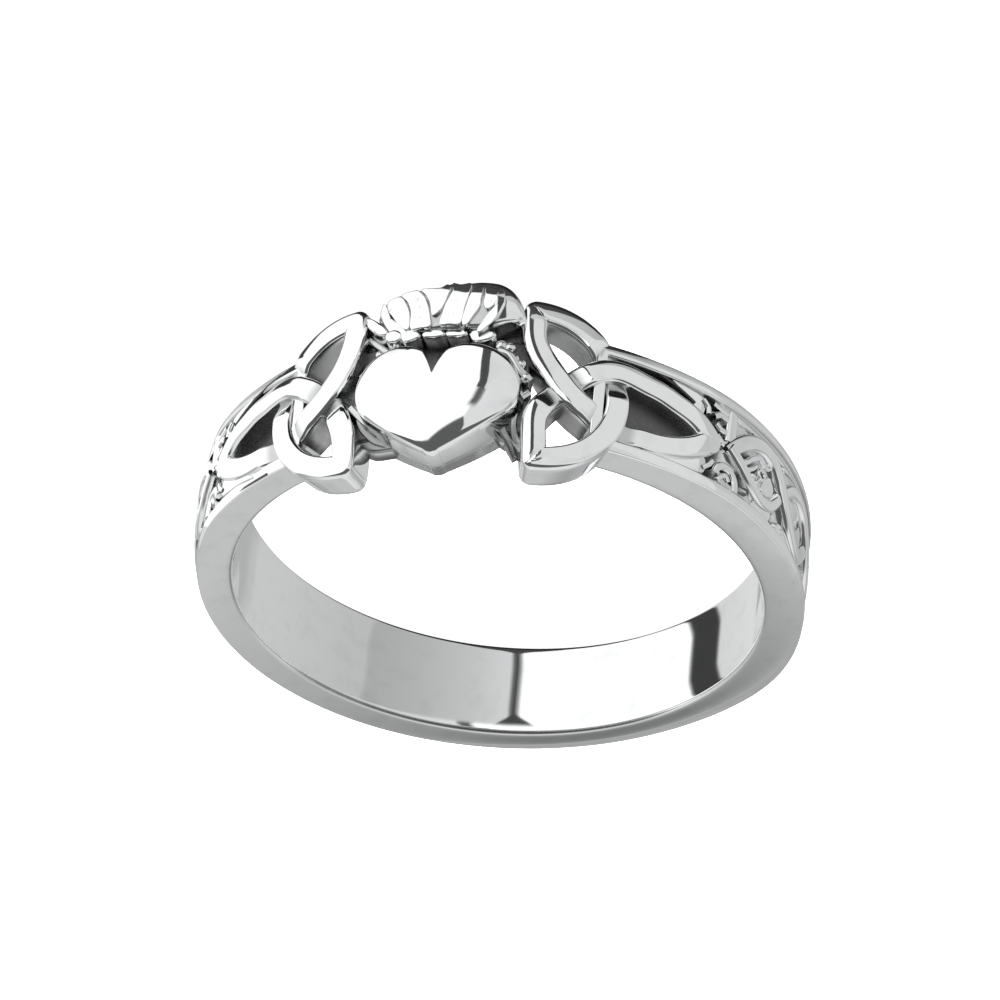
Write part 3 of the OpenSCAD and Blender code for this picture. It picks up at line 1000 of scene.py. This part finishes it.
crown = {
    "midV": -2.52,
    "middle": (-0.2, -2.5),
    "lean": 0.2,          # the crown's far end stands a little higher
    "puffR": 4.5,
    "puffShares": (0.9, 1.1),  # it falls away more slowly along the band than across it
    "height": 10.33,
    "lift": 0.1,          # how far the leaves stand out of the body
    "taper": 0.85,
    "rowR": 10.1,         # the radius at which the angles below were taken
    # each leaf: rows of angle and place across the band, round its edge
    "leaves": (
        ((10.7, -3.1), (8.4, -3.12), (6.95, -2.75), (6.15, -2.3), (6.25, -1.95), (7.9, -2.08), (9.5, -2.4),
         (10.7, -2.75)),
        ((12.0, -3.0), (11.4, -3.05), (11.2, -2.7), (10.0, -2.35), (8.2, -2.0), (6.6, -1.87), (7.4, -1.72),
         (9.2, -1.86), (11.0, -2.22), (12.1, -2.6)),
        ((7.9, -3.18), (5.2, -3.22), (4.1, -3.05), (3.15, -2.8), (2.45, -2.4), (1.95, -1.93), (3.8, -1.9),
         (5.6, -1.95), (5.75, -2.35), (6.6, -2.8)),
        ((3.9, -3.2), (0.6, -3.14), (-0.7, -3.26), (-1.4, -3.1), (-1.1, -2.8), (-0.55, -2.45),
         (0.3, -2.26), (1.5, -2.2), (2.15, -2.6), (2.9, -2.9)),
        ((-1.9, -3.3), (-3.3, -3.22), (-5.1, -3.25), (-5.05, -2.85), (-4.4, -2.3), (-3.75, -1.9),
         (-2.0, -1.9), (-0.2, -1.93), (-0.75, -2.3), (-1.6, -2.75), (-2.15, -3.05)),
        ((-5.8, -3.0), (-7.4, -3.12), (-7.35, -2.7), (-7.2, -2.35), (-6.2, -2.12), (-5.0, -1.85),
         (-4.3, -1.95), (-4.85, -2.4)),
        ((-8.1, -3.12), (-9.9, -3.05), (-10.4, -2.75), (-9.9, -2.45), (-8.7, -2.3), (-8.0, -2.45),
         (-8.1, -2.8)),
        ((-10.6, -3.12), (-11.1, -3.05), (-11.6, -2.65), (-10.9, -2.25), (-9.3, -1.9), (-7.6, -1.62),
         (-7.3, -1.75), (-8.9, -2.05), (-10.3, -2.4), (-10.9, -2.7)),
    ),
    "leafFull": 1.08,     # how much fuller a leaf is cast than drawn
    "leafReach": (0.2, -2.5, -1.9),  # its end at the heart reaches further: how far, and between where
    "leafFoot": 0.2,
    "leafBevel": 0.035,
    # the body between the leaves: how much lower it is, how dark its painted shade is, and where it darkens
    "bedDrop": 0.02,
    "bedShade": 0.5,
    "bedFrom": (-1.95, -1.75),
    "bevel": 0.16,
    "edge": (
        (12.75, -2.5), (12.5, -2.9), (11.5, -3.2), (10.0, -3.3), (7.5, -3.24), (5.1, -3.3), (3.0, -3.22),
        (1.0, -3.19), (-0.4, -3.28), (-1.35, -3.42), (-3.4, -3.3), (-5.4, -3.4), (-8.0, -3.44),
        (-10.9, -3.38), (-13.0, -3.12), (-14.5, -2.68), (-14.9, -2.3), (-13.8, -2.05), (-11.5, -1.9),
        (-9.0, -1.72), (-6.0, -1.66), (0.0, -1.66), (6.0, -1.7), (10.0, -1.95),
    ),
    # the row of lumps at the crown's foot
    "foot": (
        ((10.6, -1.76), (9.0, -1.88), (7.5, -1.72), (7.5, -1.45), (8.7, -1.36), (10.3, -1.48)),
        ((7.4, -1.72), (5.6, -1.82), (4.0, -1.64), (3.9, -1.44), (6.0, -1.3), (7.3, -1.4)),
        ((3.4, -1.62), (1.5, -1.74), (-0.6, -1.64), (-0.8, -1.46), (1.0, -1.38), (3.1, -1.44)),
        ((-1.0, -1.62), (-3.0, -1.75), (-4.9, -1.62), (-4.8, -1.44), (-3.0, -1.37), (-1.3, -1.42)),
        ((-5.3, -1.55), (-7.2, -1.72), (-9.6, -1.62), (-10.2, -1.45), (-8.6, -1.25), (-6.4, -1.2)),
        ((14.9, -2.55), (12.6, -2.32), (10.6, -1.95), (10.4, -1.7), (12.3, -1.78), (14.4, -2.2)),
    ),
    "footR": 10.14,
    "footDepth": 1.2,
    "footBevel": 0.1,
    "dots": (
        (4.7, -2.8), (4.15, -2.48), (3.8, -2.1), (-2.5, -2.1), (-2.75, -2.6), (10.2, -2.68), (-9.2, -2.55),
    ),
    "dotSize": (0.035, 0.045),
    "dotUp": 0.012,
    "dotBevel": 0.01,
}


def crownAt(lift):
    # the crown's puffed outside, raised by lift
    def crest(u, v):
        base = crown["height"] - crown["puffR"] - crown["lean"] * u / 2
        along, across = crown["puffShares"]
        fall = u * u * along + (v - crown["midV"]) ** 2 * across
        return base + math.sqrt(crown["puffR"] ** 2 - fall) + lift
    return crest


def flatRow(row):
    return [(crown["rowR"] * math.sin(math.radians(a)), v) for a, v in row]


def makeCrown():
    outline = closedCurve(flatRow(crown["edge"]), 5)
    parts = [pillow(outline, crown["middle"], crownAt(-crown["bedDrop"]), onHole, crown["bevel"], 1.0,
                    lambda u, v: crown["bedShade"] * ease(u, *crown["bedFrom"]), crown["taper"])]
    full, (reach, *reachFrom) = crown["leafFull"], crown["leafReach"]
    for row in crown["leaves"]:
        outline = closedCurve(flatRow(row))
        midU, midV = middleOf(outline)
        outline = [(midU + (u - midU) * full, v + reach * ease(v, *reachFrom)) for u, v in outline]
        parts.append(pillow(outline, (midU, midV), crownAt(crown["lift"]), crownAt(-crown["leafFoot"]),
                            crown["leafBevel"], 1.0))
    return parts


def makeDots():
    halfU, halfV = crown["dotSize"]
    top = crownAt(crown["lift"] + crown["dotUp"])
    rim = [(halfU * math.cos(0.6 * k), halfV * math.sin(0.6 * k)) for k in range(10)]
    return [pillow([(u + x, v + y) for x, y in rim], (u, v), top, crownAt(0.0), crown["dotBevel"], 1.0)
            for u, v in flatRow(crown["dots"])]


def plate(row, top, depth, bevel, dark=1.0, topDark=None):
    # a low flat shape on the ring, its edge given by angle and place across the band
    outline = closedCurve(flatRow(row))
    middle = middleOf(outline)
    return pillow(outline, middle, lambda u, v: math.sqrt(top ** 2 - u * u) - (v - middle[1]) ** 2 * 0.25,
                  lambda u, v: math.sqrt((top - depth) ** 2 - u * u), bevel, dark, topDark)


joinShapes("crown", makeCrown())
joinShapes("crownFoot", [plate(row, crown["footR"], crown["footDepth"], crown["footBevel"])
                         for row in crown["foot"]])
joinShapes("crownDots", makeDots())


print("web and bars")

web = {
    "outerR": 9.4,
    "half": 1.74,
    "end": 17.2,
    "steps": 60,
    "round": 0.12,
    # fillings behind the bars, painted dark as painted shade, each a row of angle and place round its edge
    "fillings": (
        ((17.5, 0.8), (15, 1.0), (8.2, 1.7), (6.8, 2.1), (9.5, 2.15), (12.4, 2.1), (15.2, 1.8), (17.0, 1.5)),
        ((-10.2, 1.6), (-11.2, 1.95), (-13.4, 2.05), (-15.6, 2.5), (-17.6, 2.9), (-18.4, 2.6),
         (-17.0, 1.4), (-13, 1.0)),
    ),
    "fillingR": 9.28,
    "fillingDepth": 0.62,
    "fillingBevel": 0.1,
    "wallShade": 0.8,
    "topShade": 0.75,
}


def sweepWeb():
    inner, outer, half, bend = holeR + 0.005, web["outerR"], web["half"], web["round"]
    corners = ((outer - bend, half - bend, 90), (outer - bend, -half + bend, 0),
               (inner + bend, -half + bend, -90), (inner + bend, half - bend, -180))
    section = [onCircle(r, z, bend, math.radians(start - 18 * i))
               for r, z, start in corners for i in range(6)]
    steps = web["steps"]
    # painted shade over the web, all but its face in the finger hole
    verts, faces, recess = tube([[
        (onRing(web["end"] * (2 * i / steps - 1), z, r), 1.0 if r > holeR + 0.3 else 0.0)
        for r, z in section] for i in range(steps + 1)])
    faces += [tuple(range(start, start + len(section))) for start in (0, len(verts) - len(section))]
    return verts, faces, recess


joinShapes("web", [sweepWeb()] + [
    plate(row, web["fillingR"], web["fillingDepth"], web["fillingBevel"], web["wallShade"],
          lambda u, v: web["topShade"]) for row in web["fillings"]])

bars = {
    # a row of angle, place across the band and height of the bar's top, for each point
    "rows": (
        ((17.8, 0.55, 9.7), (14.5, 1.2, 9.7), (11.5, 1.6, 9.6), (8.8, 1.9, 9.5), (7.0, 2.05, 9.3)),
        ((16.6, 0.0, 9.6), (16.4, 0.7, 9.6), (15.6, 1.3, 9.5), (13.2, 1.75, 9.4), (10.8, 1.95, 9.3),
         (8.8, 2.05, 9.15)),
        ((15.8, -2.1, 9.55), (13.2, -1.7, 9.6), (10.8, -1.35, 9.65), (8.4, -1.1, 9.6)),
        ((16.6, -0.6, 9.6), (14.8, -0.85, 9.6), (12.5, -1.0, 9.6)),
        ((-12.6, 0.7, 9.7), (-12.3, 1.2, 9.6), (-12.9, 1.65, 9.45), (-14.4, 2.0, 9.3), (-16.0, 2.4, 9.05)),
        ((-14.9, 1.0, 9.6), (-14.9, 1.5, 9.5), (-15.8, 1.95, 9.35), (-17.2, 2.35, 9.15)),
        ((-10.8, -1.05, 9.95), (-13.0, -0.9, 9.95), (-15.0, -0.45, 9.85), (-17.4, -0.1, 9.75)),
        ((-17.3, 0.25, 9.6), (-15.2, 0.55, 9.6), (-13.4, 0.6, 9.6)),
    ),
    "foot": 8.75,
    "height": 0.9,
    "width": 0.26,
    "round": 0.1,
    "crown": 0.03,
    "recess": 0.8,
    # painted shade over each whole bar, as over the lumps below
    "shade": 0.3,
    # lumps between the bars: angle, place, size and height of the middle
    "lumps": (
        (13.0, -1.35, 0.16, 9.55), (10.0, -1.15, 0.15, 9.6), (-11.3, -1.25, 0.22, 9.8),
        (-12.9, -1.2, 0.2, 9.8), (-13.8, -0.8, 0.2, 9.75), (-15.2, -0.65, 0.2, 9.7),
        (-16.4, -0.2, 0.2, 9.65), (15.9, 0.2, 0.2, 9.55), (-15.2, 0.3, 0.17, 9.6), (-13.2, 0.35, 0.16, 9.6),
    ),
    "lumpSizes": {"foot": 9.2, "height": 0.6, "recess": 0.6, "shade": 0.2},
}


def makeBars():
    rows = [openCurve(row) for row in bars["rows"]]
    rise = [r - bars["foot"] - bars["height"] for row in rows for a, v, r in row]
    paths = [[(alongBand(a), v, 0) for a, v, r in row] for row in rows]
    return [grow(paths, plainStrands, bars, {"rise": rise}), growBeads(bars["lumps"], bars["lumpSizes"])]


finishPiece("bars", makeBars())


print("studio")

camera = {
    "azimuth": -15.0,
    "tilt": 56.87,        # from straight down
    "roll": 185.56,
    "offset": (-0.06, 1.528, 400.0),  # aside, up and back, as the camera sees it
    "lens": 443.09,
}


def placeCamera():
    azimuth, tilt, roll = (math.radians(camera[k]) for k in ("azimuth", "tilt", "roll"))
    turn = lying @ Matrix.Rotation(azimuth, 4, "Z") @ Matrix.Rotation(tilt, 4, "X")
    turn = turn @ Matrix.Rotation(roll, 4, "Z") @ Matrix.Translation(camera["offset"])
    turn.translation *= mm
    data = bpy.data.cameras.new("camera")
    data.sensor_width = 36
    data.lens = camera["lens"]
    data.clip_start = 0.01
    data.clip_end = 10
    eye = addObject("camera", data)
    eye.matrix_world = turn
    bpy.context.scene.camera = eye


placeCamera()

studio = {
    "floorReach": 1600,
    "floorDrop": 0.01,
    "floorShade": 0.9,
    "floorGlow": 0.86,
    "lampHeight": 0.55,   # in metres, like its size
    "lampSize": 0.6,
    "lampPower": 6.5,
    # cards low in front, which the heart and the knots mirror: a white one and a grey one, with a dark
    # gap between them
    "gapLeft": ((-3.9, -14.5), (-4.6, -16.2), (-6.75, -20.6), (-9.2, -26.3), (-11.95, -34)),
    "gapRight": ((-3.0, -14.5), (-3.7, -16.6), (-5.3, -21.2), (-7.4, -27), (-9.05, -34)),
    "whiteEdge": ((70, -34), (70, 3), (11.5, 3), (11.5, -9), (8, -13), (3, -14.5)),
    "greyEdge": ((-70, -34), (-70, -6), (-12, -6), (-11, -10), (-8, -13)),
    "cards": (("whiteCard", 1.15), ("gapCard", 0.07), ("greyCard", 0.74)),  # name and glow
    "cardZ": -5,
    # the grey wall behind, darkest low down, which the band's side faces mirror
    "wall": ((-14, 25, 4), (26, 25, 4), (26, 25, 30), (-14, 25, 30)),
    "wallStops": ((0.0, 0.19), (0.1, 0.21), (0.2, 0.3), (0.36, 0.42), (0.6, 0.56)),
    "wallDark": (2.0, 7.6),  # x and z of its darkest place
    "wallWide": 1.7,
    "wallReach": 20,
}


def plainMaterial(name, shade, glow):
    material = bpy.data.materials.new(name)
    material.use_nodes = True
    values = {"Base Color": (shade, shade, shade, 1), "Roughness": 0.9, "Specular IOR Level": 0.1,
              "Emission Color": (1, 1, 1, 1), "Emission Strength": glow}
    for label, value in values.items():
        material.node_tree.nodes["Principled BSDF"].inputs[label].default_value = value
    return material


def wallMaterial():
    material = bpy.data.materials.new("greyWall")
    bench = emptyTree(material)
    place = bench.make("ShaderNodeTexCoord", None, None, "Object")
    darkX, darkZ = studio["wallDark"]
    x = (place.part("X") / mm - darkX) / studio["wallWide"]
    z = place.part("Z") / mm - darkZ
    away = (x * x + z * z).maths("SQRT") / studio["wallReach"]
    glow = bench.make("ShaderNodeValToRGB", {"stops": studio["wallStops"]}, {0: away}, 0)
    shader = bench.make("ShaderNodeEmission", None, {"Color": glow, "Strength": 1.0})
    bench.make("ShaderNodeOutputMaterial", None, {"Surface": shader})
    return material


def stageSheet(name, corners, material):
    mesh = bpy.data.meshes.new(name)
    mesh.from_pydata([Vector(corner) * mm for corner in corners], [], [tuple(range(len(corners)))])
    mesh.materials.append(material)
    sheet = addObject(name, mesh)
    return sheet


def onlyMirrored(card):
    for kind in ("camera", "diffuse", "shadow", "transmission"):
        setattr(card, "visible_" + kind, False)


def placeStage():
    reach, floorZ = studio["floorReach"], solidBox[0].z / mm - studio["floorDrop"]
    corners = [(x * reach, y * reach, floorZ) for x, y in ((-1, -1), (1, -1), (1, 1), (-1, 1))]
    pale = plainMaterial("paleFloor", studio["floorShade"], studio["floorGlow"])
    floor = stageSheet("floor", corners, pale)
    floor.visible_glossy = False
    gapLeft, gapRight = studio["gapLeft"], studio["gapRight"]
    edges = (gapRight + studio["whiteEdge"], gapLeft + gapRight[::-1], gapLeft + studio["greyEdge"])
    for i, (edge, (name, glow)) in enumerate(zip(edges, studio["cards"])):
        corners = [(x, y, studio["cardZ"] - 0.01 * i) for x, y in edge]
        onlyMirrored(stageSheet(name, corners, plainMaterial(name, 0.0, glow)))
    onlyMirrored(stageSheet("greyWall", studio["wall"], wallMaterial()))


def placeLamp():
    data = bpy.data.lights.new("overhead", "AREA")
    data.shape = "SQUARE"
    data.size = studio["lampSize"]
    data.energy = studio["lampPower"]
    lamp = addObject("overhead", data)
    lamp.location = (0, 0, studio["lampHeight"])  # it shines straight down
    lamp.visible_glossy = False


placeStage()
placeLamp()

# what the metal mirrors: grey to one side, white to the other, a dark corner behind. Places are in
# degrees round from the front, and heights in degrees above the horizon.
room = {
    # place and shade, low down, as the finger hole's wall sees it
    "deep": (
        (-180, 0.44), (-160, 0.46), (-145, 0.6), (-125, 0.6), (-100, 0.57), (-77, 0.53), (-69, 0.53),
        (-67, 0.43), (-54, 0.45), (-43, 0.48), (-31, 0.53), (-20, 0.58), (-9, 0.66), (-4.8, 0.68),
        (-4.1, 0.05), (-1.6, 0.05), (-0.9, 1.12), (79, 1.12), (80.5, 0.05), (98, 0.05), (100, 0.7),
        (131, 0.74), (139, 0.72), (141, 0.44), (180, 0.44),
    ),
    # the same near the horizon, as the heart sees it
    "flat": (
        (-180, 0.42), (-150, 0.46), (-140, 0.6), (-100, 0.62), (-50, 0.68), (-30, 0.76), (-26.5, 0.8),
        (-25, 0.14), (-20.5, 0.1), (-19, 1.15), (98, 1.15), (104, 0.7), (131, 0.74), (139, 0.6),
        (150, 0.42), (180, 0.42),
    ),
    "brightest": 1.2,
    "deepBelow": (-19, -21.5),
    "floorDim": (-60, -45, (0.25, 1.0)),
    # the dark gap leans towards the camera's side as it rises: from, over how far, and how much
    "leans": ((18, 27.0, 0.3), (6, 15.0, 0.2)),
    # the narrow gap opens like a funnel further down and further up
    "funnelAt": 2.6,
    "funnelDown": (-34.5, 3.5),
    "funnelUp": (26, 1.4),
    "funnelShade": 0.06,
    # above the horizon, white or grey in front, and a dark collar, which draws the dark lines along the
    # rounded edges
    "upper": (0.76, 1.2),
    "upperEdge": (-23.4, -22.2),
    "collarAt": 12,
    "collarFoot": (8.5, 0.6, 25.0),  # its height in front, how fast it climbs to the side, and the most
    "flankFoot": 24,
    "collarTop": 82,
    "collarShade": 0.11,
    "behind": (2, 46, (0.38, 0.8)),
}


def makeRoom():
    world = bpy.data.worlds.new("room")
    bpy.context.scene.world = world
    bench = emptyTree(world)
    way = bench.make("ShaderNodeTexCoord", None, None, "Generated")
    x, y, z = way.part("X"), way.part("Y"), way.part("Z")
    azimuth = x.maths("ARCTAN2", -y) / (2 * math.pi) + 0.5
    elevation = z.maths("ARCSINE") / math.pi * 180

    def sweep(places, turn):
        stops = [((a + 180) / 360, shade / room["brightest"]) for a, shade in places]
        return bench.make("ShaderNodeValToRGB", {"stops": stops}, {0: turn}, 0) * room["brightest"]

    slow, fast = ((elevation + a).atLeast(0.0).atMost(most) * share for a, most, share in room["leans"])
    leaning = azimuth - (slow + fast) / 360
    isDeep = elevation.fade(*room["deepBelow"])
    down, downRate = room["funnelDown"]
    up, upRate = room["funnelUp"]
    spread = (down - elevation).atLeast(0.0) * downRate + (elevation + up).atLeast(0.0) * upRate
    funnel = (((azimuth - 0.5) * 360 + room["funnelAt"]).maths("ABSOLUTE") - spread).fade(0.8, -0.8)
    low = sweep(room["deep"], azimuth) * (1 - funnel) + funnel * room["funnelShade"]
    below = low * isDeep + sweep(room["flat"], leaning) * (1 - isDeep)
    below = below * elevation.fade(*room["floorDim"])
    aside = (azimuth - (0.5 - room["collarAt"] / 360)) * 360
    isFlank = aside.fade(0.5, -1.5)
    foot, climb, most = room["collarFoot"]
    collarFoot = (foot + aside * climb).atMost(most) * (1 - isFlank) + isFlank * room["flankFoot"]
    collar = (elevation - collarFoot).fade(-1, 1.5) * (elevation - room["collarTop"]).fade(0, -10)
    wide = leaning.fade(*(0.5 + edge / 360 for edge in room["upperEdge"])).mix(*room["upper"])
    ahead = collar.mix(wide, room["collarShade"])
    front = (-y).fade(0.0, 0.3)
    above = elevation.fade(*room["behind"]) * (1 - front) + ahead * front
    isUp = elevation.fade(-3, 3)
    glow = below * (1 - isUp) + above * isUp
    seen = bench.make("ShaderNodeLightPath", None, None, "Is Camera Ray")
    shader = bench.make("ShaderNodeBackground", None, {"Color": glow * (1 - seen) + seen, "Strength": 1.0})
    bench.make("ShaderNodeOutputWorld", None, {"Surface": shader})


makeRoom()

view = bpy.context.scene.view_settings
view.view_transform = "Standard"
view.look = "None"
